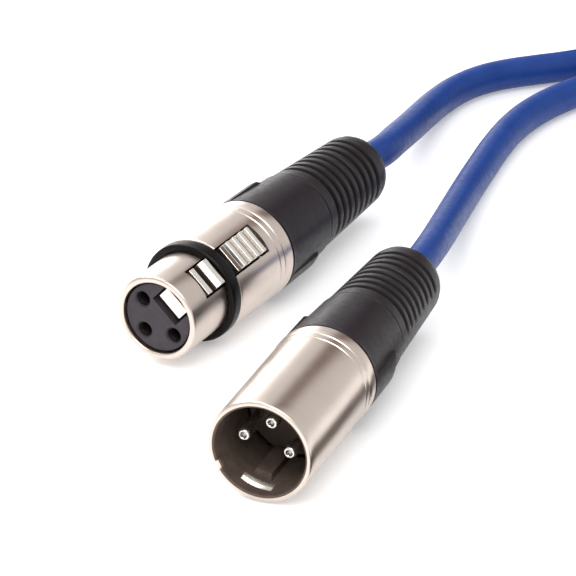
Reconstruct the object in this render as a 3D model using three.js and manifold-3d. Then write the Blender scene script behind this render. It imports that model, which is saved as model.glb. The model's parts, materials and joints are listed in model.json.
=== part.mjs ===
// A three-pin audio cable with a plug on each end: one plug with sockets and a latch, one with pins.
// The cable between them is wound into a hank held by two hook-and-loop ties.
// Millimetres, +Z up, on a floor at z = 0. The plug with pins points along -Y.
//
// Inside a plug's own frame +Y runs back along its axis from the mating face to the cable, and +Z is
// the side of the latch, or of the recess that the latch catches in.
import * as THREE from "three";
import { mergeVertices } from "three/addons/utils/BufferGeometryUtils.js";
import Module from "manifold-3d";

const wasm = await Module();
wasm.setup();

// ---- driving sizes -------------------------------------------------------------------------------
const GAP = 0.3; // clearance between neighbouring pieces
const CABLE_R = 3;
const BODY_R = 9.5; // the widest radius of both plugs, so also the height of their axes
const BARREL_R = 7.95; // the nose of the socket plug, 15.9 across, as the plug pattern asks
const BORE_R = 8.15; // the bore of the pin plug that takes that nose
const CONTACT_CIRCLE_R = 4.2;
const PIN_R = 1.2;
const THREAD_LENGTH = 3.8; // how far the bushing screws into a shell
const SEGMENTS = 36;
const SMALL_SEGMENTS = 12;

const FEMALE = { name: "female", front: [-18.4, -16.9], heading: -8.2, roll: 42, shell: 31.8 };
const MALE = { name: "male", front: [16.75, -55.2], heading: 0, roll: 192, shell: 29.5 };

// ---- materials -----------------------------------------------------------------------------------
function material(colour, roughness, metalness) {
  return new THREE.MeshStandardMaterial({ color: colour, roughness, metalness });
}
const NICKEL = material("#c9bcb0", 0.32, 1);
const SILVER = material("#d8d6d2", 0.25, 1);
const SPRING_STEEL = material("#a9a9a6", 0.35, 1);
const BLACK_PLASTIC = material("#352f36", 0.5, 0);
const INSERT_PLASTIC = material("#4f474f", 0.6, 0);
const RING_RUBBER = material("#151314", 0.6, 0);
const CHUCK_PLASTIC = material("#e6e3da", 0.5, 0);
const CABLE_BLUE = material("#2350a4", 0.45, 0);
const TIE_FABRIC = material("#1c1c1e", 0.9, 0);
const CORE_COLOURS = ["#b9b4a8", "#b3261e", "#e8e6e0"].map((colour) => material(colour, 0.5, 0));

// ---- solids --------------------------------------------------------------------------------------
function toSolid(geometry) {
  const bare = geometry.index ? geometry.toNonIndexed() : geometry.clone();
  bare.deleteAttribute("normal");
  bare.deleteAttribute("uv");
  const merged = mergeVertices(bare, 1e-4);
  const mesh = new wasm.Mesh({
    numProp: 3,
    vertProperties: merged.attributes.position.array,
    triVerts: new Uint32Array(merged.index.array),
  });
  return new wasm.Manifold(mesh);
}

function toGeometry(solid) {
  const mesh = solid.getMesh();
  const geometry = new THREE.BufferGeometry();
  geometry.setAttribute("position", new THREE.BufferAttribute(mesh.vertProperties, 3));
  geometry.setIndex(new THREE.BufferAttribute(mesh.triVerts, 1));
  return geometry;
}

// A profile of [radius, y] points turned about Y. It closes on itself, or starts and ends on the axis.
function turned(profile, segments = SEGMENTS) {
  const onAxis = profile[0][0] === 0;
  const points = onAxis ? profile : [...profile, profile[0]];
  let twiceArea = 0;
  points.forEach(([r, y], i) => {
    const [nextR, nextY] = points[(i + 1) % points.length];
    twiceArea += r * nextY - nextR * y;
  });
  const ordered = twiceArea > 0 ? points : [...points].reverse();
  return new THREE.LatheGeometry(
    ordered.map(([r, y]) => new THREE.Vector2(r, y)),
    segments,
  );
}

function turnedSolid(profile, segments = SEGMENTS) {
  return toSolid(turned(profile, segments));
}

function boxSolid(low, high) {
  const size = high.map((value, i) => value - low[i]);
  const middle = high.map((value, i) => (value + low[i]) / 2);
  return toSolid(new THREE.BoxGeometry(...size).translate(...middle));
}

// A round rod along Y, or along X when across is true.
function rodSolid(radius, [x, y, z], length, across = false) {
  const rod = new THREE.CylinderGeometry(radius, radius, length, SMALL_SEGMENTS);
  if (across) rod.rotateZ(Math.PI / 2);
  return toSolid(rod.translate(x, y, z));
}

function roundShape(radius, sides) {
  const points = [];
  for (let i = 0; i < sides; i++) {
    const angle = (2 * Math.PI * i) / sides;
    points.push(new THREE.Vector2(radius * Math.cos(angle), radius * Math.sin(angle)));
  }
  return new THREE.Shape(points);
}

function tube(points, radius, sides, steps) {
  const path = new THREE.CatmullRomCurve3(points.map((p) => new THREE.Vector3(...p)));
  return new THREE.ExtrudeGeometry(roundShape(radius, sides), { steps, extrudePath: path });
}

function piece(name, geometry, finish) {
  const made = new THREE.Mesh(geometry, finish);
  made.name = name;
  return made;
}

// The three contacts sit at a right-angled triangle on the contact circle, the last opposite the latch.
function contactPlaces(radius) {
  return [
    [radius, 0],
    [-radius, 0],
    [0, -radius],
  ];
}

// ---- the socket plug -----------------------------------------------------------------------------
const RING_FRONT = 11.2;
const RING_BACK = 13.8;
const LATCH = {
  halfWidth: 2.7,
  channel: 3.1, // half width of the slot that the lever lies in
  slotFront: 5.4,
  slotBack: 25.3,
  pivotY: 25.8,
  pivotZ: 5.9,
  floorZ: 1.9,
};

function femaleShell() {
  const shell = turnedSolid([
    [6.8, 0.5],
    [7.2, 0],
    [7.6, 0.05],
    [BARREL_R, 0.5],
    [BARREL_R, RING_BACK + GAP],
    [9.1, RING_BACK + GAP],
    [9.25, 14.5],
    [9.4, 27.2],
    [9.2, 27.4],
    [9.4, 27.6],
    [9.42, 28.9],
    [9.22, 29.1],
    [9.42, 29.3],
    [BODY_R, 30.2],
    [BODY_R, FEMALE.shell - 0.4],
    [9.1, FEMALE.shell],
    [8.2, FEMALE.shell],
    [8.2, 14.3],
    [6.8, 14.3],
  ]);
  const slot = boxSolid(
    [-LATCH.channel, LATCH.slotFront, 5.5],
    [LATCH.channel, LATCH.slotBack, 12],
  );
  return piece("female_shell", toGeometry(shell.subtract(slot)), NICKEL);
}

function femaleInsert() {
  const flangeBack = 20.3;
  const earBack = 27.2;
  const earInner = 3.1;
  const earOuter = 4.2;
  let insert = turnedSolid([
    [0, 0.6],
    [6.1, 0.6],
    [6.5, 1],
    [6.5, 14.6],
    [7.85, 14.6],
    [7.85, flangeBack],
    [0, flangeBack],
  ]);
  insert = insert.subtract(boxSolid([-LATCH.channel, 0, LATCH.floorZ], [LATCH.channel, 21, 12]));
  for (const [x, z] of contactPlaces(CONTACT_CIRCLE_R)) {
    insert = insert.subtract(rodSolid(1.75, [x, 11, z], 24));
  }
  for (const side of [-1, 1]) {
    const near = Math.min(side * earInner, side * earOuter);
    const far = Math.max(side * earInner, side * earOuter);
    insert = insert.add(boxSolid([near, flangeBack - 1, 3.4], [far, earBack, 6.9]));
  }
  insert = insert.subtract(rodSolid(0.75, [0, LATCH.pivotY, LATCH.pivotZ], 12, true));
  return piece("female_insert", toGeometry(insert), INSERT_PLASTIC);
}

function femaleSocket(index, [x, z]) {
  const wall = 1.45;
  const front = 1.6;
  const back = 22.4;
  const socket = turned(
    [
      [0, 14],
      [1.2, 14],
      [1.2, front],
      [wall, front],
      [wall, back],
      [0.9, back],
      [0.9, back - 3.4],
      [0, back - 3.4],
    ],
    SMALL_SEGMENTS,
  );
  return piece(`female_contact_${index + 1}`, socket.translate(x, 0, z), SILVER);
}

// A shape drawn in a plug's Y and Z, made as thick as width and centred on the plug's axis.
function sideOutline(shape, width) {
  const blank = new THREE.ExtrudeGeometry(shape, { depth: width, bevelEnabled: false, steps: 1 });
  const turn = new THREE.Matrix4().makeBasis(
    new THREE.Vector3(0, 1, 0),
    new THREE.Vector3(0, 0, 1),
    new THREE.Vector3(1, 0, 0),
  );
  return blank.applyMatrix4(turn).translate(-width / 2, 0, 0);
}

// The lever turns about its rear axle: pressing the ridged thumb pad sinks the tooth into the nose.
function latchLever() {
  const outline = new THREE.Shape();
  const side = [
    [0.6, 3.5],
    [5, 3.5],
    [5.4, 4.9],
    [24.4, 4.9],
    [24.4, 7.2],
    [24.4, 9.6],
    [15.2, 9.5],
    [14.8, 7.4],
    [11.1, 7.4],
    [10.7, 8.7],
    [9.4, 8.7],
    [8.5, 7.9],
    [8.3, 6.7],
    [7.5, 6.7],
    [7.4, 7.8],
    [6.2, 7.7],
    [6, 6.2],
    [0.6, 6],
  ];
  side.forEach(([y, z], i) => (i ? outline.lineTo(y, z) : outline.moveTo(y, z)));
  const width = 2 * LATCH.halfWidth;
  let lever = toSolid(sideOutline(outline, width));
  for (let i = 0; i < 4; i++) {
    const y = 16.2 + 2.2 * i;
    lever = lever.add(boxSolid([-2.5, y, 9.2], [2.5, y + 1, 10.1]));
  }
  lever = lever.add(rodSolid(1.5, [0, LATCH.pivotY, LATCH.pivotZ], width, true));
  lever = lever.subtract(rodSolid(0.85, [0, LATCH.pivotY, LATCH.pivotZ], 12, true));
  return piece("latch_lever", toGeometry(lever), NICKEL);
}

function latchAxle() {
  const axle = rodSolid(0.55, [0, LATCH.pivotY, LATCH.pivotZ], 8.2, true);
  return piece("latch_axle", toGeometry(axle), SPRING_STEEL);
}

function latchSpring() {
  const thickness = 0.3;
  const leaf = new THREE.Shape();
  leaf.moveTo(10, LATCH.floorZ + GAP);
  leaf.lineTo(14, LATCH.floorZ + GAP);
  leaf.lineTo(19, 4);
  leaf.lineTo(19, 4 + thickness);
  leaf.lineTo(14, LATCH.floorZ + GAP + thickness);
  leaf.lineTo(10, LATCH.floorZ + GAP + thickness);
  const width = 3.6;
  return piece("latch_spring", sideOutline(leaf, width), SPRING_STEEL);
}

function femaleRing() {
  const inner = BARREL_R + GAP;
  const outer = 9.36;
  const ring = turned([
    [inner, RING_FRONT],
    [outer - 0.6, RING_FRONT],
    [outer - 0.1, RING_FRONT + 0.5],
    [outer, RING_FRONT + 1.3],
    [outer - 0.1, RING_BACK - 0.5],
    [outer - 0.5, RING_BACK],
    [inner, RING_BACK],
  ]);
  return piece("female_ring", ring, RING_RUBBER);
}

// ---- the pin plug --------------------------------------------------------------------------------
const MALE_INSERT_FRONT = 14.8;
const MALE_INSERT_BACK = 20.5;

function maleShell() {
  let shell = turnedSolid([
    [BORE_R, 0.3],
    [8.45, 0],
    [9, 0.05],
    [9.3, 0.5],
    [9.35, 1.5],
    [9.42, 25],
    [9.22, 25.2],
    [9.42, 25.4],
    [9.44, 26.6],
    [9.24, 26.8],
    [9.44, 27],
    [BODY_R, 27.8],
    [BODY_R, MALE.shell - 0.4],
    [9.1, MALE.shell],
    [8.2, MALE.shell],
    [8.2, 14.4],
    [BORE_R, 14.3],
  ]);
  const rib = boxSolid([-1.7, 5.4, 6.7], [1.7, 14.2, 8.6]);
  const latchRecess = boxSolid([-2.85, 2, 7], [2.85, 4.7, 9]);
  const rimNotch = boxSolid([-1.1, -1, 7.5], [1.1, 1.1, 11]).rotate([0, 50, 0]);
  shell = shell.add(rib).subtract(latchRecess).subtract(rimNotch);
  return piece("male_shell", toGeometry(shell), NICKEL);
}

function maleInsert() {
  let insert = turnedSolid([
    [0, MALE_INSERT_FRONT],
    [7.5, MALE_INSERT_FRONT],
    [7.85, MALE_INSERT_FRONT + 0.4],
    [7.85, MALE_INSERT_BACK],
    [0, MALE_INSERT_BACK],
  ]);
  for (const [x, z] of contactPlaces(CONTACT_CIRCLE_R)) {
    insert = insert.subtract(rodSolid(PIN_R + GAP, [x, 18, z], 12));
  }
  return piece("male_insert", toGeometry(insert), INSERT_PLASTIC);
}

function malePin(index, [x, z]) {
  const back = 23.6;
  const pin = turned(
    [
      [0, 3.5],
      [0.45, 3.1],
      [0.85, 3.05],
      [PIN_R, 3.7],
      [PIN_R, back],
      [0.8, back],
      [0.8, back - 2.6],
      [0, back - 2.6],
    ],
    SMALL_SEGMENTS,
  );
  return piece(`male_contact_${index + 1}`, pin.translate(x, 0, z), SILVER);
}

// ---- what both plugs share -----------------------------------------------------------------------
function groundTab(plug, front) {
  const foot = boxSolid([-1.6, front, -7.5], [1.6, front + 0.4, -6.3]);
  const strip = boxSolid([-1.6, front, -7.7], [1.6, plug.shell - THREAD_LENGTH - 0.6, -7.3]);
  return piece(`${plug.name}_ground_tab`, toGeometry(foot.add(strip)), SPRING_STEEL);
}

function core(plug, index, from, to) {
  const [x, z] = from;
  const [jacketX, jacketZ] = to;
  const startY = plug.coreStart;
  const endY = plug.shell + 0.4;
  const middleY = (startY + endY) / 2;
  const points = [
    [x, startY, z],
    [x, startY + 1, z],
    [(x + jacketX) / 2, middleY, (z + jacketZ) / 2],
    [jacketX, endY - 1, jacketZ],
    [jacketX, endY, jacketZ],
  ];
  return piece(`${plug.name}_core_${index + 1}`, tube(points, 0.6, 6, 8), CORE_COLOURS[index]);
}

function chuck(plug) {
  const front = plug.shell + 1.1;
  const back = plug.shell + 12.8;
  let grip = turnedSolid(
    [
      [CABLE_R + GAP, front],
      [6.6, front],
      [6.6, front + 2],
      [4.5, back],
      [CABLE_R + GAP, back],
    ],
    24,
  );
  const slotHalf = 0.4;
  const slotFront = front + 3;
  grip = grip
    .subtract(boxSolid([-8, slotFront, -slotHalf], [8, back + 1, slotHalf]))
    .subtract(boxSolid([-slotHalf, slotFront, -8], [slotHalf, back + 1, 8]));
  return piece(`${plug.name}_cable_chuck`, toGeometry(grip), CHUCK_PLASTIC);
}

function bushing(plug) {
  const start = plug.shell + GAP;
  const end = plug.shell + 15.8;
  const collarOuter = 9.45;
  const tail = 8.45;
  const body = turnedSolid([
    [7, plug.shell - THREAD_LENGTH],
    [7.85, plug.shell - THREAD_LENGTH],
    [7.85, start],
    [collarOuter, start],
    [9.25, start + 0.8],
    [tail, end],
    [4.9, end],
    [4.9, end - 2.4],
    [7, start + 3],
  ]);
  const wingEnd = plug.shell + 10.6;
  const wings = turnedSolid([
    [8, start],
    [9.4, start],
    [9.4, wingEnd - 0.6],
    [9.2, wingEnd],
    [8, wingEnd],
  ]);
  const across = boxSolid([-12, start - 1, -3.4], [12, wingEnd + 1, 3.4]);
  return piece(`${plug.name}_bushing`, toGeometry(body.add(wings.intersect(across))), BLACK_PLASTIC);
}

function boot(plug) {
  const start = plug.shell + 16.1;
  const end = plug.shell + 40.4;
  const startR = 8.2;
  const endR = 6.9;
  const grooves = 8;
  const pitch = 2.35;
  const firstGroove = start + 3;
  const outer = [
    [startR, start],
    [startR, start + 0.6],
  ];
  for (let i = 0; i < grooves; i++) {
    const y = firstGroove + i * pitch;
    const radius = THREE.MathUtils.mapLinear(y, start, end, startR, endR);
    outer.push([radius, y - 0.6], [radius - 0.55, y], [radius, y + 0.6]);
  }
  const profile = [
    [CABLE_R + GAP, start - 3],
    [4.5, start - 3],
    [4.5, start],
    ...outer,
    [endR, end - 2.4],
    [endR - 0.8, end - 0.9],
    [endR - 2.4, end],
    [CABLE_R + GAP, end],
  ];
  return piece(`${plug.name}_boot`, turned(profile, 20), BLACK_PLASTIC);
}

function plugGroup(plug, pieces) {
  const rolled = new THREE.Group();
  rolled.add(...pieces);
  rolled.rotation.y = THREE.MathUtils.degToRad(plug.roll);
  const placed = new THREE.Group();
  placed.add(rolled);
  placed.rotation.z = THREE.MathUtils.degToRad(plug.heading);
  placed.position.set(...plug.front, BODY_R);
  return placed;
}

function rearPieces(plug, tabFront) {
  const jacketPlaces = contactPlaces(1.5);
  const cores = contactPlaces(CONTACT_CIRCLE_R).map((place, i) =>
    core(plug, i, place, jacketPlaces[i]),
  );
  return [groundTab(plug, tabFront), ...cores, chuck(plug), bushing(plug), boot(plug)];
}

function femalePlug() {
  const plug = { ...FEMALE, coreStart: 22.4 + GAP };
  const sockets = contactPlaces(CONTACT_CIRCLE_R).map((place, i) => femaleSocket(i, place));
  const front = [femaleShell(), femaleInsert(), ...sockets, femaleRing()];
  const latch = [latchLever(), latchAxle(), latchSpring()];
  return plugGroup(plug, [...front, ...latch, ...rearPieces(plug, 20.3 + GAP)]);
}

function malePlug() {
  const plug = { ...MALE, coreStart: 23.6 + GAP };
  const pins = contactPlaces(CONTACT_CIRCLE_R).map((place, i) => malePin(i, place));
  const front = [maleShell(), maleInsert(), ...pins];
  return plugGroup(plug, [...front, ...rearPieces(plug, MALE_INSERT_BACK + GAP)]);
}

// ---- the cable, its hank and the ties ------------------------------------------------------------
const FLOOR_Z = 3.15; // the height of the cable's centreline where it lies on the floor
const FEMALE_ROUTE = [
  [-6.6, 62.4, 9.4],
  [-6.9, 71.2, 8.2],
  [-7.8, 81.8, 6.2],
  [-8.7, 92.2, 4.4],
  [-8.8, 100.6, 3.4],
  [-7.7, 107.3, FLOOR_Z],
  [-5.2, 113.2, FLOOR_Z],
  [-1.3, 118.2, FLOOR_Z],
  [3.5, 122.4, FLOOR_Z],
  [8.6, 126.6, FLOOR_Z],
  [13.4, 131.6, FLOOR_Z],
  [17, 138, FLOOR_Z],
  [18.6, 145.4, 3.3],
  [17.7, 153, 3.5],
  [14, 159.8, 3.8],
  [8.4, 165, 4],
];
const MALE_ROUTE = [
  [16.6, 22.9, 9.4],
  [15.5, 32.6, 8.4],
  [13.5, 43.8, 6.5],
  [11.6, 54.8, 4.8],
  [10, 65.5, 3.6],
  [9, 75.4, FLOOR_Z],
  [8.4, 85.1, FLOOR_Z],
  [8.5, 95.3, FLOOR_Z],
  [10.2, 104.8, FLOOR_Z],
  [13.6, 113.6, FLOOR_Z],
  [18.4, 122.4, FLOOR_Z],
  [23.2, 131.6, FLOOR_Z],
  [26.6, 141.4, FLOOR_Z],
  [28.2, 151.6, FLOOR_Z],
  [28.2, 161.4, 3.4],
  [26.6, 172, 3.9],
];
// The hank is two columns of turns with straight sides along Y and a half circle at each end.
const HANK = { centre: [2.2, 224.6], half: 28, inner: 14.7, outer: 27.45, bottom: 1.1, top: 38.25 };
const TIE = { width: 14, wall: 0.8 };

// A point on a plug's axis, a distance behind its front, in the part's own frame.
function onAxis(plug, distance) {
  const heading = THREE.MathUtils.degToRad(plug.heading);
  const [x, y] = plug.front;
  return [x - Math.sin(heading) * distance, y + Math.cos(heading) * distance, BODY_R];
}

function freeCable(plug, route) {
  const jacketStart = plug.shell + 0.4 + GAP;
  const bootEnd = plug.shell + 40.4;
  const straight = [jacketStart, bootEnd - 20, bootEnd, bootEnd + 4].map((y) => onAxis(plug, y));
  return piece(`cable_${plug.name}_end`, tube([...straight, ...route], CABLE_R, 8, 48), CABLE_BLUE);
}

// A path round both straight sides and both round ends, radius from the middle of each end.
function racetrack(kind, radius) {
  const made = new kind();
  made.moveTo(radius, -HANK.half);
  made.lineTo(radius, HANK.half);
  made.absarc(0, HANK.half, radius, 0, Math.PI, false);
  made.lineTo(-radius, -HANK.half);
  made.absarc(0, -HANK.half, radius, Math.PI, 2 * Math.PI, false);
  return made;
}

function cableHank() {
  const outline = racetrack(THREE.Shape, HANK.outer);
  outline.holes.push(racetrack(THREE.Path, HANK.inner));
  const blank = new THREE.ExtrudeGeometry(outline, {
    depth: HANK.top - HANK.bottom,
    bevelEnabled: false,
    curveSegments: 16,
  });
  return piece("cable_hank", blank.translate(...HANK.centre, HANK.bottom), CABLE_BLUE);
}

function rectangle(kind, x0, y0, x1, y1) {
  const made = new kind();
  made.moveTo(x0, y0);
  made.lineTo(x1, y0);
  made.lineTo(x1, y1);
  made.lineTo(x0, y1);
  made.closePath();
  return made;
}

// A band round the turns on one side of the hank: side is 1 towards +X and -1 towards -X.
function tie(index, side) {
  const inside = HANK.inner - GAP;
  const outside = HANK.outer + GAP;
  const low = HANK.bottom - GAP;
  const high = HANK.top + GAP;
  const band = rectangle(
    THREE.Shape,
    inside - TIE.wall,
    low - TIE.wall,
    outside + TIE.wall,
    high + TIE.wall,
  );
  band.holes.push(rectangle(THREE.Path, inside, low, outside, high));
  const blank = new THREE.ExtrudeGeometry(band, { depth: TIE.width, bevelEnabled: false, steps: 1 });
  blank.rotateX(Math.PI / 2).translate(0, TIE.width / 2, 0);
  if (side < 0) blank.rotateZ(Math.PI);
  return piece(`cable_tie_${index + 1}`, blank.translate(...HANK.centre, 0), TIE_FABRIC);
}

const cable = new THREE.Group();
cable.add(
  femalePlug(),
  malePlug(),
  freeCable(FEMALE, FEMALE_ROUTE),
  freeCable(MALE, MALE_ROUTE),
  cableHank(),
  ...[1, -1].map((side, i) => tie(i, side)),
);

export default cable;
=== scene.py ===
# The looks of a three-pin audio cable: a latching socket plug, a pin plug, and a blue cable whose
# length is folded into a hank with two ties.
# Sizes are in millimetres, and MM turns them into the metres of the frame.
# In a plug's own frame +Y runs back from its mating face and +Z is the side of the latch.
import json
import math

import bmesh
import bpy
from mathutils import Matrix, Vector


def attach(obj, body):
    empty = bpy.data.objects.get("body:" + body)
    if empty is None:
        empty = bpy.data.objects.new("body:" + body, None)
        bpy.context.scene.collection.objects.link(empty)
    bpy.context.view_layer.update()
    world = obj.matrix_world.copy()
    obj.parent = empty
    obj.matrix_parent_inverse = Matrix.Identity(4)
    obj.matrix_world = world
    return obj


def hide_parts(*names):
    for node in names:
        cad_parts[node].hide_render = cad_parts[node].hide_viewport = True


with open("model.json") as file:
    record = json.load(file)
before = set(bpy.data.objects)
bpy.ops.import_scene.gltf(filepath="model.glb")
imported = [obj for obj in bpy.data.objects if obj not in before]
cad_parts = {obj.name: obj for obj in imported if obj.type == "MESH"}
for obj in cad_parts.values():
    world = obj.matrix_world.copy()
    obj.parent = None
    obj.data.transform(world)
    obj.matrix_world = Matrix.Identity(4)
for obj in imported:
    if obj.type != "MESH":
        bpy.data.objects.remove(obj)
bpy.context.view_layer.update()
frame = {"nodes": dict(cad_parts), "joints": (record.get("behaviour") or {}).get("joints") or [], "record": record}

MM = 0.001
record = frame["record"]
mounts = {mount["name"]: mount for mount in record["mounts"]}
joints = {joint["name"]: joint for joint in frame["joints"]}

# ---- camera --------------------------------------------------------------------------------------
LOOK_AT = (-8.5, 20.4, 0)
AZIMUTH = 21.9  # degrees from -Y towards +X
ELEVATION = 26.7  # degrees above the floor
DISTANCE = 855
LENS = 294

# ---- sizes shared with the CAD -------------------------------------------------------------------
BODY_R = 9.5
BARREL_R = 7.95
BORE_R = 8.15
REAR_BORE_R = 8.2
CONTACT_CIRCLE_R = 4.2
FEMALE_SHELL = 31.8  # the shells' lengths
MALE_SHELL = 29.5
FEMALE_INSERT_FRONT = 0.6  # the carriers' faces, behind the shells' fronts
MALE_INSERT_FRONT = 14.8
MALE_ROLL = 192  # degrees about the plug's own axis
BOOT_END = 40.4  # behind the shell
CABLE_R = 3
FLOOR_Z = 3.15  # the cable's axis where it lies on the floor


def add_object(name, data):
    piece = bpy.data.objects.new(name, data)
    bpy.context.scene.collection.objects.link(piece)
    return piece


def make_camera():
    data = bpy.data.cameras.new("camera")
    data.lens = LENS
    data.sensor_width = 36
    data.clip_end = 20
    camera = add_object("camera", data)
    azimuth = math.radians(AZIMUTH)
    elevation = math.radians(ELEVATION)
    away = Vector(
        (
            math.sin(azimuth) * math.cos(elevation),
            -math.cos(azimuth) * math.cos(elevation),
            math.sin(elevation),
        )
    )
    camera.location = (Vector(LOOK_AT) + away * DISTANCE) * MM
    camera.rotation_euler = (-away).to_track_quat("-Z", "Y").to_euler()
    bpy.context.scene.camera = camera


def plug_matrix(mount, depth, x_axis):
    """From a plug's own millimetres to the frame. The mount's face is depth behind the plug's front."""
    back = -Vector(mount["axis"])
    x_axis = Vector(x_axis).normalized()
    side = x_axis.cross(back)
    turn = Matrix((x_axis, back, side)).transposed().to_4x4()
    front = Vector(mount["pos_m"]) - back * depth * MM
    return Matrix.Translation(front) @ turn @ Matrix.Scale(MM, 4)


def male_x_axis():
    roll = math.radians(MALE_ROLL)
    return (math.cos(roll), 0, -math.sin(roll))


make_camera()
FEMALE = plug_matrix(mounts["female_mating_face"], FEMALE_INSERT_FRONT, joints["latch_press"]["axis"])
MALE = plug_matrix(mounts["male_mating_face"], MALE_INSERT_FRONT, male_x_axis())

# ---- shaders -------------------------------------------------------------------------------------
RAMP_START = 0.3
RAMP_END = 0.7


class Shader:
    """A Principled material whose varying inputs come from procedural nodes."""

    def __init__(self, name, colour, roughness, metallic=0.0, **sockets):
        self.material = bpy.data.materials.new(name)
        self.material.use_nodes = True
        self.tree = self.material.node_tree
        self.bsdf = self.tree.nodes["Principled BSDF"]
        self.set("Base Color", (*colour, 1))
        self.set("Roughness", roughness)
        self.set("Metallic", metallic)
        for socket, value in sockets.items():
            self.set(socket.replace("_", " "), value)
        self.place = self.tree.nodes.new("ShaderNodeTexCoord").outputs["Object"]

    def set(self, socket, value):
        self.bsdf.inputs[socket].default_value = value

    def join(self, output, node, socket):
        self.tree.links.new(output, node.inputs[socket])

    def noise(self, scale, detail):
        """Noise with about scale lumps in a metre."""
        noise = self.tree.nodes.new("ShaderNodeTexNoise")
        noise.inputs["Scale"].default_value = scale
        noise.inputs["Detail"].default_value = detail
        self.join(self.place, noise, "Vector")
        return noise.outputs["Fac"]

    def wave(self, scale, direction):
        wave = self.tree.nodes.new("ShaderNodeTexWave")
        wave.bands_direction = direction
        wave.inputs["Scale"].default_value = scale
        self.join(self.place, wave, "Vector")
        return wave.outputs["Fac"]

    def vary(self, socket, factor, low, high):
        """Makes a colour or a number go from low to high as factor goes from RAMP_START to RAMP_END."""
        if not hasattr(low, "__len__"):
            low, high = (low,) * 3, (high,) * 3
        ramp = self.tree.nodes.new("ShaderNodeValToRGB")
        ramp.color_ramp.elements[0].position = RAMP_START
        ramp.color_ramp.elements[1].position = RAMP_END
        ramp.color_ramp.elements[0].color = (*low, 1)
        ramp.color_ramp.elements[1].color = (*high, 1)
        self.join(factor, ramp, "Fac")
        self.join(ramp.outputs["Color"], self.bsdf, socket)

    def bump(self, heights):
        """Bumps from (height, depth in millimetres) pairs, one on top of the other."""
        normal = None
        for height, depth in heights:
            bump = self.tree.nodes.new("ShaderNodeBump")
            bump.inputs["Strength"].default_value = 1
            bump.inputs["Distance"].default_value = depth * MM
            self.join(height, bump, "Height")
            if normal:
                self.join(normal, bump, "Normal")
            normal = bump.outputs["Normal"]
        self.join(normal, self.bsdf, "Normal")


def nickel(name, colour, roughness):
    """Plated or plain metal with a faint cloudiness in its colour and its gloss."""
    made = Shader(name, colour, roughness, 1.0)
    cloud = made.noise(160, 4)
    darker = tuple(value * 0.93 for value in colour)
    made.vary("Base Color", cloud, darker, colour)
    made.vary("Roughness", made.noise(700, 3), roughness * 0.96, roughness * 1.04)
    made.bump([(made.noise(2500, 3), 0.0015)])
    return made.material


# Painted shade: a dark brown colour laid on the pin plug's nickel bore and the inner edge of its rim, for the
# shade inside the socket.
def bore_painted_shade():
    made = Shader("bore_painted_shade", (0.11, 0.08, 0.065), 0.6, 0.3, Specular_IOR_Level=0.25)
    made.vary("Base Color", made.noise(500, 4), (0.09, 0.064, 0.052), (0.13, 0.096, 0.078))
    made.bump([(made.noise(6000, 2), 0.01)])
    return made.material


def moulded(name, colour, roughness, grain, shine=0.3):
    """Moulded plastic or rubber: a fine eroded skin with slightly uneven gloss."""
    made = Shader(name, colour, roughness, Specular_IOR_Level=shine)
    darker = tuple(value * 0.8 for value in colour)
    made.vary("Base Color", made.noise(350, 4), darker, colour)
    made.vary("Roughness", made.noise(900, 4), roughness * 0.85, roughness * 1.15)
    made.bump([(made.noise(5000, 3), grain), (made.noise(700, 2), grain)])
    return made.material


def cable_jacket():
    made = Shader("cable_jacket", (0.004, 0.032, 0.175), 0.45, Specular_IOR_Level=0.25)
    made.vary("Base Color", made.noise(220, 4), (0.003, 0.028, 0.16), (0.005, 0.036, 0.19))
    made.vary("Roughness", made.noise(800, 4), 0.38, 0.52)
    made.bump([(made.noise(4500, 3), 0.012), (made.noise(260, 2), 0.05)])
    return made.material


def woven_strap():
    made = Shader("woven_strap", (0.006, 0.006, 0.007), 0.85, Specular_IOR_Level=0.2)
    made.vary("Base Color", made.noise(2500, 4), (0.003, 0.003, 0.004), (0.016, 0.016, 0.018))
    made.bump([(made.wave(900, "Z"), 0.12), (made.noise(3500, 3), 0.25)])
    return made.material


def plain(name, colour, roughness):
    """An even finish with a little dirt in it, for the small pieces inside and for the cards."""
    made = Shader(name, colour, roughness)
    darker = tuple(value * 0.85 for value in colour)
    made.vary("Base Color", made.noise(600, 4), darker, colour)
    made.bump([(made.noise(4000, 2), 0.01)])
    return made.material


def stage_floor():
    made = Shader("stage_floor", (0.8,) * 3, 0.6, Emission_Color=(1, 1, 1, 1), Emission_Strength=0.3)
    made.vary("Base Color", made.noise(8, 2), (0.795,) * 3, (0.805,) * 3)
    return made.material


SHELL = nickel("shell_nickel", (0.66, 0.57, 0.51), 0.3)
LATCH_METAL = nickel("latch_nickel", (0.80, 0.76, 0.71), 0.24)
SILVER = nickel("contact_silver", (0.84, 0.82, 0.79), 0.22)
# Painted shade: the socket contacts are silver, but are coloured nearly black for the shade down the insert's
# holes.
SOCKET_PAINTED_SHADE = nickel("socket_contact_painted_shade", (0.07, 0.065, 0.06), 0.5)
# Painted shade: a dark brown nickel for the floors between the lever's ridges and for the slot before its tooth
# block.
LATCH_GROOVE_SHADE = nickel("latch_groove_painted_shade", (0.17, 0.13, 0.105), 0.45)
STEEL = nickel("spring_steel", (0.55, 0.55, 0.54), 0.35)
# painted shade for the pin plug's bore
BORE_PAINTED_SHADE = bore_painted_shade()
BUSHING = moulded("bushing_nylon", (0.012, 0.008, 0.011), 0.42, 0.012, 0.22)
BOOT = moulded("boot_rubber", (0.009, 0.006, 0.008), 0.45, 0.015)
INSERT = moulded("insert_plastic", (0.044, 0.036, 0.043), 0.6, 0.02)
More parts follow.
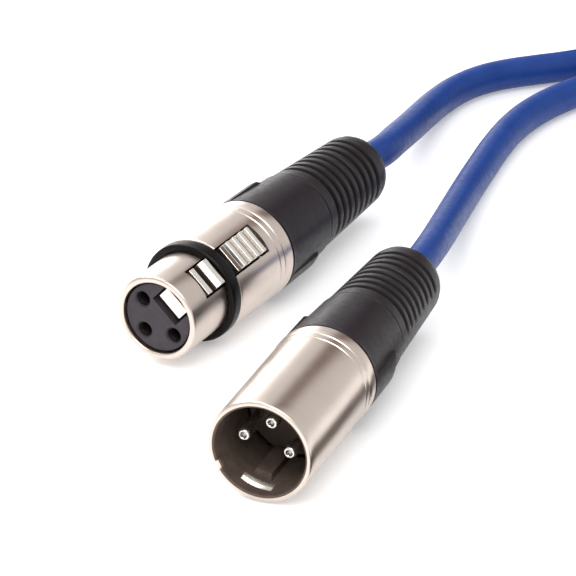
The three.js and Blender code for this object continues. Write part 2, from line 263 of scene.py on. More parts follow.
# Painted light: the pin plug's insert is the same black plastic as the socket plug's, given the bore's warm brown
# at a lighter tone for light bounced off the bore's walls.
MALE_INSERT_PAINTED_LIGHT = moulded("male_insert_painted_bore_light", (0.09, 0.065, 0.053), 0.6, 0.02)
RING = moulded("ring_rubber", (0.003, 0.002, 0.002), 0.35, 0.008, 0.15)
JACKET = cable_jacket()
STRAP = woven_strap()

# ---- meshes --------------------------------------------------------------------------------------
SHARP_ANGLE = math.radians(35)
BEVEL_ANGLE = math.radians(25)


def mesh_of(name, shape):
    """A bmesh as a mesh."""
    mesh = bpy.data.meshes.new(name)
    shape.to_mesh(mesh)
    shape.free()
    return mesh


def add_mesh(name, mesh, *materials):
    piece = add_object(name, mesh)
    for material in materials:
        mesh.materials.append(material)
    mesh.polygons.foreach_set("use_smooth", [True] * len(mesh.polygons))
    mesh.set_sharp_from_angle(angle=SHARP_ANGLE)
    return piece


def facing_out(mesh):
    cleaned = bmesh.new()
    cleaned.from_mesh(mesh)
    bmesh.ops.recalc_face_normals(cleaned, faces=cleaned.faces)
    cleaned.to_mesh(mesh)
    cleaned.free()


def filleted(corners, steps=5):
    """A closed outline of (r, y, fillet radius) corners as a list of (r, y) points."""
    points = []
    for i, (r, y, fillet) in enumerate(corners):
        corner = Vector((r, y))
        before = Vector(corners[i - 1][:2]) - corner
        after = Vector(corners[(i + 1) % len(corners)][:2]) - corner
        if not fillet:
            points.append((r, y))
            continue
        half = before.angle(after) / 2
        cut = min(fillet / math.tan(half), 0.45 * before.length, 0.45 * after.length)
        middle = corner + (before.normalized() + after.normalized()).normalized() * cut / math.cos(half)
        start = corner + before.normalized() * cut - middle
        end = corner + after.normalized() * cut - middle
        sweep = start.angle(end)
        for step in range(steps + 1):
            share = step / steps
            arm = start * math.sin((1 - share) * sweep) + end * math.sin(share * sweep)
            point = middle + arm / math.sin(sweep)
            points.append((point.x, point.y))
    return points


def even_columns(count):
    return [2 * math.pi * i / count for i in range(count)]


def columns_with(count, edges, width=0.15):
    """Even columns, with a pair of them width degrees apart at each edge, in degrees."""
    pairs = [math.radians(edge + side * width) % (2 * math.pi) for edge in edges for side in (-1, 1)]
    clear = math.pi / count
    evens = [a for a in even_columns(count) if all(abs(a - b) > clear for b in pairs)]
    return sorted(evens + pairs)


def revolve(name, matrix, profile, columns, materials, warp=None, paint=None):
    """A closed (r, y) profile turned about a plug's axis. warp(r, y, angle) may move a point, and
    paint(r, y, angle) picks a face's material. The angle goes from +Z towards +X."""
    verts = []
    flat = []
    for r, y in profile:
        for angle in columns:
            new_r, new_y = warp(r, y, angle) if warp else (r, y)
            flat.append((r, y, angle))
            verts.append(matrix @ Vector((new_r * math.sin(angle), new_y, new_r * math.cos(angle))))
    rows = len(profile)
    across = len(columns)
    faces = []
    for i in range(rows):
        for j in range(across):
            a = i * across + j
            b = i * across + (j + 1) % across
            below = ((i + 1) % rows) * across
            faces.append((a, b, below + (j + 1) % across, below + j))
    mesh = bpy.data.meshes.new(name)
    mesh.from_pydata(verts, [], faces)
    if paint:
        for face, polygon in zip(faces, mesh.polygons):
            r, y, angle = flat[face[0]]
            far_r, far_y, _ = flat[face[2]]
            polygon.material_index = paint((r + far_r) / 2, (y + far_y) / 2, angle)
    facing_out(mesh)
    return add_mesh(name, mesh, *materials)


def solid_of_outline(name, outline, half_width, materials, bevel, paint, cutters):
    """A (y, z) outline made half_width thick to each side, cut, and with its edges rounded.
    paint(y, z) picks the material of the face between two corners from their middle."""
    shape = bmesh.new()
    near = [shape.verts.new((-half_width, y, z)) for y, z in outline]
    far = [shape.verts.new((half_width, y, z)) for y, z in outline]
    shape.faces.new(near)
    shape.faces.new(reversed(far))
    for i in range(len(outline)):
        j = (i + 1) % len(outline)
        face = shape.faces.new((near[j], near[i], far[i], far[j]))
        face.material_index = paint(*((a + b) / 2 for a, b in zip(outline[i], outline[j])))
    bmesh.ops.recalc_face_normals(shape, faces=shape.faces)
    piece = add_mesh(name, mesh_of(name, shape), *materials)
    cut(piece, cutters)
    rounding = piece.modifiers.new("rounding", "BEVEL")
    rounding.width = bevel
    rounding.segments = 3
    rounding.limit_method = "ANGLE"
    rounding.angle_limit = BEVEL_ANGLE
    rounding.harden_normals = True
    bake(piece)
    return piece


def bake(piece):
    """Applies a piece's modifiers."""
    bpy.context.view_layer.update()
    evaluated = piece.evaluated_get(bpy.context.evaluated_depsgraph_get())
    mesh = bpy.data.meshes.new_from_object(evaluated)
    piece.modifiers.clear()
    piece.data = mesh


def cut(piece, cutters):
    """Takes closed cutter meshes out of a piece."""
    for cutter in cutters:
        modifier = piece.modifiers.new("cut", "BOOLEAN")
        modifier.operation = "DIFFERENCE"
        modifier.solver = "EXACT"
        modifier.object = cutter
    bake(piece)
    for cutter in cutters:
        bpy.data.objects.remove(cutter)
    piece.data.set_sharp_from_angle(angle=SHARP_ANGLE)


def block_cutter(low, high):
    shape = bmesh.new()
    bmesh.ops.create_cube(shape, size=1)
    size = [b - a for a, b in zip(low, high)]
    middle = [(a + b) / 2 for a, b in zip(low, high)]
    bmesh.ops.scale(shape, vec=size, verts=shape.verts)
    bmesh.ops.translate(shape, vec=middle, verts=shape.verts)
    return add_object("cutter", mesh_of("cutter", shape))


def axle_cutter(radius):
    """A rod across a plug, along the latch's axle."""
    shape = bmesh.new()
    across = Matrix.Translation((0, PIVOT_Y, PIVOT_Z)) @ Matrix.Rotation(math.pi / 2, 4, "Y")
    bmesh.ops.create_cone(
        shape, cap_ends=True, segments=32, radius1=radius, radius2=radius, depth=20, matrix=across
    )
    return add_object("cutter", mesh_of("cutter", shape))


def lathe(name, matrix, profile, place, material, columns=48):
    """A (r, y) profile that starts and ends on the axis, turned about a line at place (x, z)."""
    x, z = place
    shape = bmesh.new()
    rings = []
    for r, y in profile:
        if r == 0:
            rings.append([shape.verts.new((x, y, z))])
            continue
        ring = [
            shape.verts.new((x + r * math.sin(angle), y, z + r * math.cos(angle)))
            for angle in even_columns(columns)
        ]
        rings.append(ring)
    for upper, lower in zip(rings, rings[1:]):
        for j in range(columns):
            k = (j + 1) % columns
            corners = [
                upper[j % len(upper)],
                upper[k % len(upper)],
                lower[k % len(lower)],
                lower[j % len(lower)],
            ]
            shape.faces.new(list(dict.fromkeys(corners)))
    bmesh.ops.recalc_face_normals(shape, faces=shape.faces)
    mesh = mesh_of(name, shape)
    mesh.transform(matrix)
    return add_mesh(name, mesh, material)


def contact_places():
    r = CONTACT_CIRCLE_R
    return [(r, 0), (-r, 0), (0, -r)]


def smooth(low, high, value):
    """0 up to low and 1 from high on, with an even bend between them."""
    share = min(1, max(0, (value - low) / (high - low)))
    return share * share * (3 - 2 * share)


def degrees_from(angle, centre):
    """How far an angle in radians is from a centre in degrees, in degrees."""
    return abs((math.degrees(angle) - centre + 180) % 360 - 180)


# ---- the socket plug -----------------------------------------------------------------------------
NOSE_BORE_R = 6.75
SHOULDER_Y = 14.1  # where the nose meets the body
SHOULDER_BACK = 14.3
SLOT_HALF = 3.1
SLOT_FRONT = 5.4
SLOT_BACK = 25.3
SLOT_FACES = 8  # across the slot
ROUND_FACES = 150  # round the rest of the shell
PIVOT_Y = 25.8
PIVOT_Z = 5.9
LEVER_HALF = 2.7
LEVER_EYE_R = 1.5
AXLE_HOLE_R = 0.85  # in the lever
EAR_HOLE_R = 0.75  # in the carrier's ears
EAR_OUTSIDE = 4.2


def rear_edge(shell):
    """The corners of a shell's rear end: two fine turned grooves and a rounded edge."""
    return [
        (9.4, shell - 4.55, 0.04),
        (9.22, shell - 4.4, 0.04),
        (9.4, shell - 4.25, 0.04),
        (9.42, shell - 2.95, 0.04),
        (9.24, shell - 2.8, 0.04),
        (9.42, shell - 2.65, 0.04),
        (BODY_R, shell - 1.9, 0.3),
        (BODY_R, shell, 0.3),
        (REAR_BORE_R, shell, 0.1),
    ]


def slot_columns(r):
    """Columns round a ring of radius r, the first of them across the slot."""
    edge = math.asin(SLOT_HALF / r)
    across = [-edge + 2 * edge * i / SLOT_FACES for i in range(SLOT_FACES)]
    span = 2 * math.pi - 2 * edge
    return across + [edge + span * i / ROUND_FACES for i in range(ROUND_FACES)]


def female_shell():
    """The shell with the latch's slot. Each ring has the same number of columns, and the faces across
    the slot are left out and replaced by its walls."""
    corners = [
        (NOSE_BORE_R, 0, 0.35),
        (BARREL_R, 0, 0.5),
        (BARREL_R, SLOT_FRONT, 0),
        (BARREL_R, SHOULDER_Y, 0.1),
        (9.2, SHOULDER_Y, 0.4),
        (9.38, SLOT_BACK, 0),
        *rear_edge(FEMALE_SHELL),
        (REAR_BORE_R, SLOT_BACK, 0),
        (REAR_BORE_R, SHOULDER_BACK, 0),
        (NOSE_BORE_R, SHOULDER_BACK, 0),
        (NOSE_BORE_R, SLOT_FRONT, 0),
    ]
    profile = filleted(corners)
    verts = []
    for r, y in profile:
        for angle in slot_columns(r):
            verts.append(FEMALE @ Vector((r * math.sin(angle), y, r * math.cos(angle))))
    across = SLOT_FACES + ROUND_FACES
    rows = len(profile)
    front_rows = [i for i, (_, y) in enumerate(profile) if abs(y - SLOT_FRONT) < 1e-6]
    back_rows = [i for i, (_, y) in enumerate(profile) if abs(y - SLOT_BACK) < 1e-6]
    outer = range(front_rows[0], back_rows[0])
    inner = range(back_rows[1], front_rows[1])
    faces = []
    for i in range(rows):
        for j in range(across):
            if j < SLOT_FACES and (i in outer or i in inner):
                continue
            below = ((i + 1) % rows) * across
            k = (j + 1) % across
            faces.append((i * across + j, i * across + k, below + k, below + j))
    for j in (0, SLOT_FACES):
        wall = [i * across + j for i in (*outer, back_rows[0], *inner, front_rows[1])]
        faces.append(wall)
    for outer_row, inner_row in ((front_rows[0], front_rows[1]), (back_rows[0], back_rows[1])):
        for j in range(SLOT_FACES):
            a = outer_row * across + j
            b = inner_row * across + j
            faces.append((a, a + 1, b + 1, b))
    mesh = bpy.data.meshes.new("female_shell_fine")
    mesh.from_pydata(verts, [], faces)
    facing_out(mesh)
    return add_mesh("female_shell_fine", mesh, SHELL)


def female_ring():
    profile = filleted([(8.1, 11.2, 0.1), (9.36, 11.2, 0.6), (9.36, 13.8, 0.45), (8.1, 13.8, 0.1)], 8)
    return revolve("female_ring_fine", FEMALE, profile, even_columns(160), [RING])


def female_insert():
    """The contact carrier with the latch's channel, two ears for its axle and three lipped holes."""
    front = FEMALE_INSERT_FRONT
    face = [(0, front), (6.1, front), (6.35, front + 0.08), (6.5, front + 0.4)]
    rear = [(6.5, 14.6), (7.85, 14.6), (7.85, 20.3), (0, 20.3)]
    body = lathe("female_insert_fine", Matrix.Identity(4), face + rear, (0, 0), INSERT, 128)
    for side in (-1, 1):
        ear = sorted((side * SLOT_HALF, side * EAR_OUTSIDE))
        block = block_cutter((ear[0], 19.3, 3.4), (ear[1], 27.2, 6.9))
        union = body.modifiers.new("ear", "BOOLEAN")
        union.operation = "UNION"
        union.solver = "EXACT"
        union.object = block
        bake(body)
        bpy.data.objects.remove(block)
    cutters = [block_cutter((-SLOT_HALF, -1, 1.9), (SLOT_HALF, 21, 12)), axle_cutter(EAR_HOLE_R)]
    hole = [(0, 0), (2.1, 0), (1.4, 0.9), (1.4, 1.35), (1.75, 1.4), (1.75, 22), (0, 22)]
    for spot in contact_places():
        cutters.append(lathe("cutter", Matrix.Identity(4), hole, spot, INSERT))
    cut(body, cutters)
    body.data.transform(FEMALE)
    return body


def female_contact(number, place):
    """A socket contact, open at the front, with its solder cup behind."""
    # Painted shade: the near-black colour stands for the shade down the hole, over the contact's silver.
    profile = [(0, 14), (1.15, 14), (1.2, 1.75), (1.28, 1.62), (1.4, 1.62), (1.45, 1.72), (1.45, 22.4)]
    profile += [(0.9, 22.4), (0.9, 19), (0, 19)]
    return lathe(f"female_contact_fine_{number}", FEMALE, profile, place, SOCKET_PAINTED_SHADE)


def latch_lever():
    """The lever: underside, axle eye, ridged thumb pad, tooth block and the flat front, in that order."""
    outline = [(0.6, 3.5), (4.6, 3.5), (5.2, 4.9), (24.4, 4.9)]
    for degrees in range(225, 481, 15):
        turned = math.radians(degrees)
        outline.append((PIVOT_Y + LEVER_EYE_R * math.cos(turned), PIVOT_Z + LEVER_EYE_R * math.sin(turned)))
    outline += [(24.4, 7.2), (24.4, 9.0)]
    for ridge in reversed(range(4)):
        y = 15.7 + 2.2 * ridge
        outline += [(y + 1.5, 9.2), (y + 1.3, 10.0), (y + 0.3, 10.0), (y + 0.1, 9.2)]
    outline += [(15.0, 9.0), (14.8, 7.4), (11.1, 7.4), (10.8, 8.65), (9.5, 8.7), (8.6, 7.9), (8.4, 6.7)]
    outline += [(7.5, 6.7), (7.4, 7.85), (6.1, 7.8), (6.0, 6.1), (0.6, 6.05)]

    # Painted shade: the floors between the thumb pad's ridges and the slot before the tooth block take the dark
    # groove colour.
    def paint(y, z):
        between_ridges = 15.1 < y < 24.3 and 9 < z < 9.3
        before_block = 7.4 < y < 8.7 and z < 8
        return 1 if between_ridges or before_block else 0

    metals = [LATCH_METAL, LATCH_GROOVE_SHADE]
    hole = axle_cutter(AXLE_HOLE_R)
    lever = solid_of_outline("latch_lever_fine", outline, LEVER_HALF, metals, 0.16, paint, [hole])
    lever.data.transform(FEMALE)
    return lever


# ---- the pin plug --------------------------------------------------------------------------------
BORE_DEPTH = 14.4
RECESS = (2, 4.7)  # the latch's recess in the bore, front and back
RECESS_HALF = 2.85
RECESS_R = 9.0
RIB = (5.4, 14.2)  # the key rib in the bore
RIB_HALF = 1.7
RIB_FACE = 6.7  # from the axis
NOTCH_ANGLE = 50  # degrees round from the latch's side
NOTCH_HALF_ANGLE = 5.6
NOTCH_DEPTH = 0.95
SHINING_FROM = 3.5  # the bright nickel at the back of the recess, left out of the bore's painted shade
EDGE_ROW = 0.05


def bore_rows():
    """The rows of points in the bore, from its bottom, with a close pair at each end of rib and recess."""
    rows = [BORE_DEPTH]
    for edge in (RIB[1], RIB[0], RECESS[1]):
        rows += [edge + EDGE_ROW, edge - EDGE_ROW]
    return rows + [SHINING_FROM, RECESS[0] + EDGE_ROW, RECESS[0] - EDGE_ROW]


def male_shell():
    """The shell with the key rib and the latch's recess in its bore, and a small notch in its rim."""
    corners = [
        (BORE_R, 0, 0.4),
        (9.3, 0, 0.4),
        (9.34, 1.9, 0),
        (9.36, 12, 0),
        *rear_edge(MALE_SHELL),
        (REAR_BORE_R, BORE_DEPTH, 0),
        *[(BORE_R, y, 0) for y in bore_rows()],
    ]
    recess_edge = math.degrees(math.asin(RECESS_HALF / BORE_R))
    rib_edge = math.degrees(math.asin(RIB_HALF / BORE_R))
    notch_edges = [NOTCH_ANGLE - NOTCH_HALF_ANGLE, NOTCH_ANGLE + NOTCH_HALF_ANGLE]

    def warp(r, y, angle):
        in_bore = r < 8.3
        if in_bore and RECESS[0] < y < RECESS[1] and degrees_from(angle, 0) < recess_edge:
            return RECESS_R, y
        if in_bore and RIB[0] < y < RIB[1] and degrees_from(angle, 0) < rib_edge:
            return RIB_FACE / math.cos(angle), y
        if y < 0.6 and degrees_from(angle, NOTCH_ANGLE) < NOTCH_HALF_ANGLE:
            return r, y + NOTCH_DEPTH
        return r, y

    # The bore and the inner part of the rim's rounded edge (r < 8.5) get the painted shade; the back of the
    # latch's recess keeps bright nickel.
    def paint(r, y, angle):
        if SHINING_FROM < y < 5 and degrees_from(angle, 0) < recess_edge:
            return 2
        return 1 if r < 8.5 and y < BORE_DEPTH else 0

    columns = columns_with(150, [-recess_edge, recess_edge, -rib_edge, rib_edge, *notch_edges])
    materials = [SHELL, BORE_PAINTED_SHADE, LATCH_METAL]
    return revolve("male_shell_fine", MALE, filleted(corners), columns, materials, warp, paint)


def male_insert():
    front = MALE_INSERT_FRONT
    profile = [(0, front), (7.5, front), (7.75, front + 0.1), (7.85, front + 0.4), (7.85, 20.5), (0, 20.5)]
    # The insert takes the lighter, browner copy of the plastic, with its painted bounce light.
    body = lathe("male_insert_fine", Matrix.Identity(4), profile, (0, 0), MALE_INSERT_PAINTED_LIGHT, 128)
    hole = [(0, 14), (2.3, 14), (1.4, 15.1), (1.4, 22), (0, 22)]
    cut(body, [lathe("cutter", Matrix.Identity(4), hole, spot, MALE_INSERT_PAINTED_LIGHT) for spot in contact_places()])
    body.data.transform(MALE)
    return body


def male_contact(number, place):
    """A pin with a dimpled tip, and its solder cup behind."""
    profile = [(0, 4.7), (0.4, 4.6), (0.52, 3.5), (0.58, 3.14), (0.68, 3.04), (0.84, 3.06)]
    profile += [(1.0, 3.2), (1.13, 3.5), (1.2, 3.95), (1.2, 23.6), (0.8, 23.6), (0.8, 21), (0, 21)]
    return lathe(f"male_contact_fine_{number}", MALE, profile, place, SILVER)


# ---- what both plugs share -----------------------------------------------------------------------
BUSHING_FRONT_R = 9.3
BUSHING_REAR_R = 8.45
CONE_ROWS = 24
NECK_HOLE_R = 4.9  # the bushing's hole for the boot's neck
WING_HALF = 3.4
WING_END = 10.6  # behind the shell
WING_CROWN_R = 9.46
WING_TAPER = 0.012  # a millimetre
THREAD_R = 7.85
TAIL_BORE_R = 7
THREAD_PITCH = 1
THREAD_DEPTH = 0.4
THREAD_LENGTH = 3.8  # inside the shell


def nearest_side(angle):
    """How far an angle is from the nearer of a plug's two sides, in degrees."""
    return min(degrees_from(angle, 90), degrees_from(angle, 270))


def bushing(name, matrix, shell):
    """The screwed rear bushing: a tapered body with a grip wing on each side and a threaded tail."""
    start = shell + 0.3
    end = shell + 15.8
    wing_end = shell + WING_END
    thread_start = shell - THREAD_LENGTH
    cone_start = start + 0.7
    cone_length = end - 0.6 - cone_start
    taper = BUSHING_REAR_R - BUSHING_FRONT_R
    cone = []
    for row in range(1, CONE_ROWS):
        share = row / CONE_ROWS
        cone.append((BUSHING_FRONT_R + taper * share, cone_start + cone_length * share, 0))
    for shift in (-0.35, -0.05):
        share = (wing_end - start + shift) / 15
        cone.append((BUSHING_FRONT_R + taper * share, wing_end + shift, 0))
    cone.sort(key=lambda corner: corner[1])
    outer = [(9.45, start, 0.2), (BUSHING_FRONT_R, cone_start, 0), *cone, (BUSHING_REAR_R, end, 0.5)]
    inner = [(NECK_HOLE_R, end, 0.1), (NECK_HOLE_R, end - 2.4, 0), (TAIL_BORE_R, start + 3, 0)]
    thread = [(THREAD_R, thread_start + 0.1 * row, 0) for row in range(3, 41)]
    tail = [(TAIL_BORE_R, thread_start, 0), (THREAD_R, thread_start, 0.1), *thread, (THREAD_R, start, 0)]
    wing_edge = math.degrees(math.asin(WING_HALF / 9.4))
    edges = [side + turn * wing_edge for side in (90, 270) for turn in (-1, 1)]

    def warp(r, y, angle):
        if abs(r - THREAD_R) < 0.01 and thread_start + 0.25 < y < start - 0.05:
            along = (y / THREAD_PITCH - angle / (2 * math.pi)) % 1
            return r - THREAD_DEPTH * smooth(0.15, 0.5, min(along, 1 - along)), y
        if r < 8.2 or y < start + 0.2 or y > wing_end or nearest_side(angle) > wing_edge:
            return r, y
        crown = WING_CROWN_R - WING_TAPER * (y - start)
        return max(r, crown - 0.2 * smooth(wing_end - 0.4, wing_end, y)), y

    profile = filleted([*outer, *inner, *tail])
    return revolve(name, matrix, profile, columns_with(144, edges, 0.5), [BUSHING], warp)


BOOT_START = 16.1  # behind the shell
BOOT_FRONT_R = 8.2
BOOT_TAPER = 1.3  # over its whole length
BOOT_HOLE_R = 3.3
NECK_R = 4.5
NECK_LENGTH = 3
GROOVES = 8
GROOVE_PITCH = 2.3
GROOVE_HALF = 0.5
GROOVE_DEPTH = 0.9
SPINE = (14, 30)  # degrees from a side, where the grooves begin and where they have their full depth
BOOT_ROW = 0.11  # between two rows of points


def boot(name, matrix, shell):
    """The ribbed boot. Its grooves fade out at a spine along each side."""
    start = shell + BOOT_START
    end = shell + BOOT_END
    neck = start - NECK_LENGTH
    grooves = [start + 3.1 + GROOVE_PITCH * i for i in range(GROOVES)]

    def radius(y):
        return BOOT_FRONT_R - BOOT_TAPER * (y - start) / (end - start)

    ribbed_start = start + 0.6
    ribbed_length = end - 2.6 - ribbed_start
    steps = int(ribbed_length / BOOT_ROW)
    side = [ribbed_start + ribbed_length * i / steps for i in range(steps + 1)]
    outer = [(radius(start), start, 0.5)] + [(radius(y), y, 0) for y in side]
    dome = [(6.75, end - 1.5, 0), (6.3, end - 0.65, 0), (5.6, end - 0.12, 0), (4.9, end, 0)]
    mouth = [(3.5, end, 0.15)]
    inner = [(BOOT_HOLE_R, end - 1, 0), (BOOT_HOLE_R, neck, 0), (NECK_R, neck, 0.1), (NECK_R, start, 0)]
    profile = filleted([*outer, *dome, *mouth, *inner])

    def warp(r, y, angle):
        if r < 6.5 or y < start + 1 or y > end - 2:
            return r, y
        near = min(abs(y - groove) for groove in grooves)
        cut_in = 1 - smooth(GROOVE_HALF * 0.45, GROOVE_HALF * 1.3, near)
        return r - GROOVE_DEPTH * smooth(*SPINE, nearest_side(angle)) * cut_in, y

    return revolve(name, matrix, profile, even_columns(120), [BOOT], warp)


# ---- the cable -----------------------------------------------------------------------------------
FEMALE_ROUTE = [
    (-6.6, 62.4, 9.4),
    (-6.9, 71.2, 8.2),
    (-7.8, 81.8, 6.2),
    (-8.7, 92.2, 4.4),
    (-8.8, 100.6, 3.4),
    (-7.7, 107.3, FLOOR_Z),
    (-5.2, 113.2, FLOOR_Z),
    (-1.3, 118.2, FLOOR_Z),
    (3.5, 122.4, FLOOR_Z),
    (8.6, 126.6, FLOOR_Z),
    (13.4, 131.6, FLOOR_Z),
    (17, 138, FLOOR_Z),
    (18.6, 145.4, 3.3),
    (17.7, 153, 3.5),
    (14, 159.8, 3.8),
    (8.4, 165, 4),
    (1, 169.2, 4.2),
]
MALE_ROUTE = [
    (16.6, 22.9, 9.4),
    (15.5, 32.6, 8.4),
    (13.5, 43.8, 6.5),
    (11.6, 54.8, 4.8),
    (10, 65.5, 3.6),
    (9, 75.4, FLOOR_Z),
    (8.4, 85.1, FLOOR_Z),
    (8.5, 95.3, FLOOR_Z),
    (10.2, 104.8, FLOOR_Z),
    (13.6, 113.6, FLOOR_Z),
    (18.4, 122.4, FLOOR_Z),
    (23.2, 131.6, FLOOR_Z),
    (26.6, 141.4, FLOOR_Z),
    (28.2, 151.6, FLOOR_Z),
    (28.2, 161.4, 3.4),
    (26.6, 172, 3.9),
    (23.6, 183, 4.2),
    (21, 194, 4.2),
]
HANK_CENTRE = (2.2, 224.6)
HANK_HALF = 28  # half the length of the straight sides
HANK_RADII = (18.3, 24.4)  # the bends of the two columns of turns
HANK_ROWS = 6
HANK_BOTTOM = 4.2
HANK_RISE = 6.15  # from row to row
EXIT_STEPS = (-18, -8, 0, 4)  # points on a plug's axis, from its boot's end


def hank_laps():
    """Each lap's radius and row before its left side and after it, and the share of that side that it
    moves over. The first column climbs, its last turn moves out, and the second column comes down."""
    near, far = HANK_RADII
    top = HANK_ROWS - 1
    climbing = [(near, row, near, row + 1, 0.45, 1) for row in range(top)]
    moving_out = [(near, top, far, top, 0.22, 0.78)]
    falling = [(far, row, far, row - 1, 0, 0.55) for row in range(top, 0, -1)]
    return climbing + moving_out + falling


def hank_points():
    """The turns of the hank, anticlockwise from above, from the pin plug's end to the socket plug's end."""
    x, y = HANK_CENTRE
    points = []

    def bend(r, row, first, last, end):
        height = HANK_BOTTOM + HANK_RISE * row
        steps = round((last - first) / 22.5)
        for i in range(steps + 1):
            turned = math.radians(first + (last - first) * i / steps)
            points.append((x + r * math.cos(turned), y + end * HANK_HALF + r * math.sin(turned), height))

    laps = hank_laps()
    for lap, (r, row, next_r, next_row, start, stop) in enumerate(laps):
        for share in (-1 / 3, 1 / 3):
            points.append((x + r, y + share * HANK_HALF, HANK_BOTTOM + HANK_RISE * row))
        bend(r, row, 0, 180, 1)
        for i in range(1, 6):
            moved = smooth(start, stop, i / 6)
            side = r + (next_r - r) * moved
            height = HANK_BOTTOM + HANK_RISE * (row + (next_row - row) * moved)
            points.append((x - side, y + HANK_HALF * (1 - i / 3), height))
        bend(next_r, next_row, 180, 360 if lap < len(laps) - 1 else 247.5, -1)
    return points


def exit_points(matrix, boot_end):
    return [tuple((matrix @ Vector((0, boot_end + step, 0))) / MM) for step in EXIT_STEPS]


def cable():
    """The whole cable on one curve, from inside the socket plug's boot to inside the pin plug's."""
    female_part = exit_points(FEMALE, FEMALE_SHELL + BOOT_END) + FEMALE_ROUTE
    male_part = exit_points(MALE, MALE_SHELL + BOOT_END) + MALE_ROUTE
    route = [*female_part, *reversed(hank_points()), *reversed(male_part)]
    curve = bpy.data.curves.new("cable", "CURVE")
    curve.dimensions = "3D"
    curve.bevel_depth = CABLE_R * MM
    curve.bevel_resolution = 6
    curve.resolution_u = 6
    curve.use_fill_caps = True
    spline = curve.splines.new("BEZIER")
    spline.bezier_points.add(len(route) - 1)
    for knot, point in zip(spline.bezier_points, route):
        knot.co = Vector(point) * MM
        knot.handle_left_type = "AUTO"
        knot.handle_right_type = "AUTO"
    curve.materials.append(JACKET)
    return add_object("cable", curve)


STRAP_WIDTH = 15
STRAP_THICK = 0.9
STRAP_INSIDE = 14.9  # its inner faces, from the hank's middle line
STRAP_OUTSIDE = 27.6
STRAP_LOW = 0.95
STRAP_HIGH = 38.3
STRAP_CORNER_R = 3.2


def strap_path():
    """The strap's inner face as (x, z) points: once round one side's turns, with its end lapped on top."""
    left = STRAP_INSIDE + STRAP_CORNER_R
    right = STRAP_OUTSIDE - STRAP_CORNER_R
    bottom = STRAP_LOW + STRAP_CORNER_R
    top = STRAP_HIGH - STRAP_CORNER_R
    path = [Vector((22, STRAP_HIGH))]
    for x, z, first in ((left, top, 90), (left, bottom, 180), (right, bottom, 270), (right, top, 0)):
        for degrees in range(first, first + 91, 15):
            turned = math.radians(degrees)
            path.append(Vector((x, z)) + STRAP_CORNER_R * Vector((math.cos(turned), math.sin(turned))))
    lap = [(23.6, 0.15), (22.6, 0.75), (21.4, 1.0), (19.8, 1.0), (17.4, 1.0)]
    return path + [Vector((x, STRAP_HIGH + rise * STRAP_THICK)) for x, rise in lap]


def tie(number, side):
    """A hook-and-loop strap round the turns on one side of the hank."""
    path = strap_path()
    # Places across the width and the thickness there, both as shares of the full ones.
    across = [(-0.5, 0.5), (-0.47, 1), (-0.25, 1), (0, 1), (0.25, 1), (0.47, 1), (0.5, 0.5)]
    shape = bmesh.new()
    sections = []
    for i, point in enumerate(path):
        ahead = path[min(i + 1, len(path) - 1)] - path[max(i - 1, 0)]
        outward = Vector((ahead.y, -ahead.x)).normalized()
        section = []
        for face in (0, 1):
            row = []
            for share, fullness in across:
                depth = STRAP_THICK * (0.5 + (face - 0.5) * fullness)
                spot = point + outward * depth
                where = (HANK_CENTRE[0] + side * spot.x, HANK_CENTRE[1] + share * STRAP_WIDTH, spot.y)
                row.append(shape.verts.new(Vector(where) * MM))
            section.append(row)
        sections.append(section[0] + section[1][::-1])
    for first, second in zip(sections, sections[1:]):
        for k in range(len(first)):
            m = (k + 1) % len(first)
            shape.faces.new((first[k], first[m], second[m], second[k]))
    shape.faces.new(sections[0])
    shape.faces.new(reversed(sections[-1]))
    bmesh.ops.recalc_face_normals(shape, faces=shape.faces)
    name = f"tie_{number}"
    return add_mesh(name, mesh_of(name, shape), STRAP)


# ---- put together --------------------------------------------------------------------------------
def assign(piece, body, slot, *nodes):
    """Gives a piece its body and hides the CAD nodes that it replaces. The slot is not used."""
    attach(piece, body)
    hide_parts(*nodes)
    return piece


cord = assign(cable(), "root", "cable_pvc", "cable_female_end", "cable_hank", "cable_male_end")
ties = [
    assign(tie(number, side), "root", "tie_fabric", f"cable_tie_{number}")
    for number, side in ((1, 1), (2, -1))
]

assign(female_shell(), "root", "shell_nickel", "female_shell")
assign(female_ring(), "root", "ring_rubber", "female_ring")
assign(female_insert(), "root", "insert_plastic", "female_insert")
assign(latch_lever(), "latch_body", "latch_nickel", "latch_lever")
assign(male_shell(), "root", "shell_nickel", "male_shell")
assign(male_insert(), "root", "insert_plastic", "male_insert")
for number, spot in enumerate(contact_places(), 1):
    assign(female_contact(number, spot), "root", "contact_silver", f"female_contact_{number}")
    assign(male_contact(number, spot), "root", "contact_silver", f"male_contact_{number}")
for plug, plug_frame, shell_length in (("female", FEMALE, FEMALE_SHELL), ("male", MALE, MALE_SHELL)):
    rear = bushing(f"{plug}_bushing_fine", plug_frame, shell_length)
    assign(rear, f"{plug}_bushing_body", "moulded_black", f"{plug}_bushing")
    sleeve = boot(f"{plug}_boot_fine", plug_frame, shell_length)
    assign(sleeve, f"{plug}_boot_body", "boot_rubber", f"{plug}_boot")


def finish_inner_nodes():
    """The pieces inside the plugs keep their CAD shapes and get their finishes."""
    chuck = plain("chuck_acetal", (0.78, 0.76, 0.70), 0.45)
    cores = [
        plain("core_shield", (0.45, 0.43, 0.39), 0.5),
        plain("core_red", (0.42, 0.02, 0.015), 0.45),
        plain("core_white", (0.80, 0.78, 0.74), 0.45),
    ]
    finishes = {"latch_axle": STEEL, "latch_spring": STEEL}
    for plug in ("female", "male"):
        finishes[f"{plug}_ground_tab"] = STEEL
        finishes[f"{plug}_cable_chuck"] = chuck
        for number, finish in enumerate(cores, 1):
            finishes[f"{plug}_core_{number}"] = finish
    for node, finish in finishes.items():
        mesh = frame["nodes"][node].data
        mesh.materials.clear()
        mesh.materials.append(finish)


finish_inner_nodes()


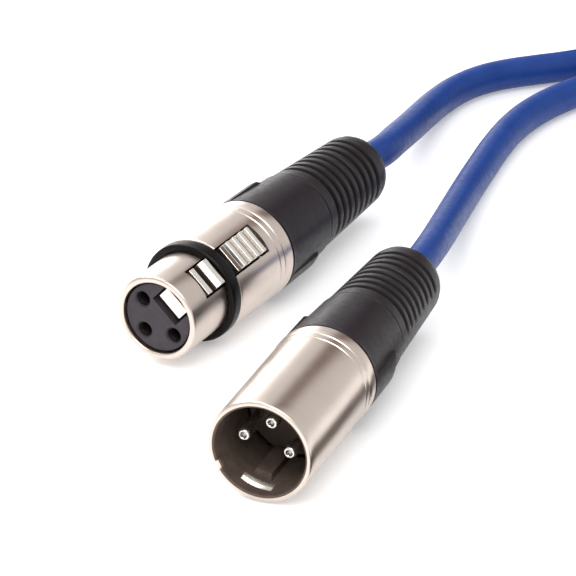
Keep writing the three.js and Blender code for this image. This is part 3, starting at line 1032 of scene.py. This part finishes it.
# ---- stage ---------------------------------------------------------------------------------------
FLOOR_HALF = 3000
FLOOR_DROP = 0.2  # keeps the floor's face off the faces that rest on it
LIGHT_AIM = (0, 10, 8)
WORLD_STRENGTH = 0.85


def card(name, corners, material):
    """A flat stage piece with four corners in millimetres."""
    mesh = bpy.data.meshes.new(name)
    mesh.from_pydata([Vector(corner) * MM for corner in corners], [], [(0, 1, 2, 3)])
    piece = add_object(name, mesh)
    mesh.materials.append(material)
    return piece


def floor():
    signs = [(-1, -1), (1, -1), (1, 1), (-1, 1)]
    corners = [(x * FLOOR_HALF, y * FLOOR_HALF, -FLOOR_DROP) for x, y in signs]
    card("floor", corners, stage_floor())


def area_light(name, place, size, power, colour=(1, 1, 1)):
    data = bpy.data.lights.new(name, "AREA")
    data.shape = "RECTANGLE"
    data.size = size[0] * MM
    data.size_y = size[1] * MM
    data.energy = power
    data.color = colour
    lamp = add_object(name, data)
    lamp.location = Vector(place) * MM
    toward = (Vector(LIGHT_AIM) - Vector(place)).normalized()
    lamp.rotation_euler = toward.to_track_quat("-Z", "Y").to_euler()


def flag(name, corners, colour):
    """A dark card that only reflections show, which gives the bright metal its bands."""
    piece = card(name, corners, plain(f"{name}_card", colour, 0.9))
    piece.visible_camera = False
    piece.visible_diffuse = False
    piece.visible_shadow = False


def studio():
    world = bpy.data.worlds.new("studio")
    bpy.context.scene.world = world
    world.use_nodes = True
    background = world.node_tree.nodes["Background"]
    background.inputs["Color"].default_value = (1, 1, 1, 1)
    background.inputs["Strength"].default_value = WORLD_STRENGTH
    area_light("key", (-500, 250, 700), (600, 600), 6)
    area_light("front_top", (150, -500, 700), (500, 500), 5)
    area_light("side_strip", (-420, 620, 140), (260, 360), 0.7, colour=(1, 0.98, 0.96))
    flag("back", [(-20, 600, 60), (200, 600, 60), (200, 600, 900), (-20, 600, 900)], (0.09, 0.04, 0.025))
    flag("beside", [(32, -70, 0), (32, 10, 0), (32, 10, 9), (32, -70, 9)], (0.08, 0.05, 0.035))
    bpy.context.scene.view_settings.view_transform = "Standard"


floor()
studio()
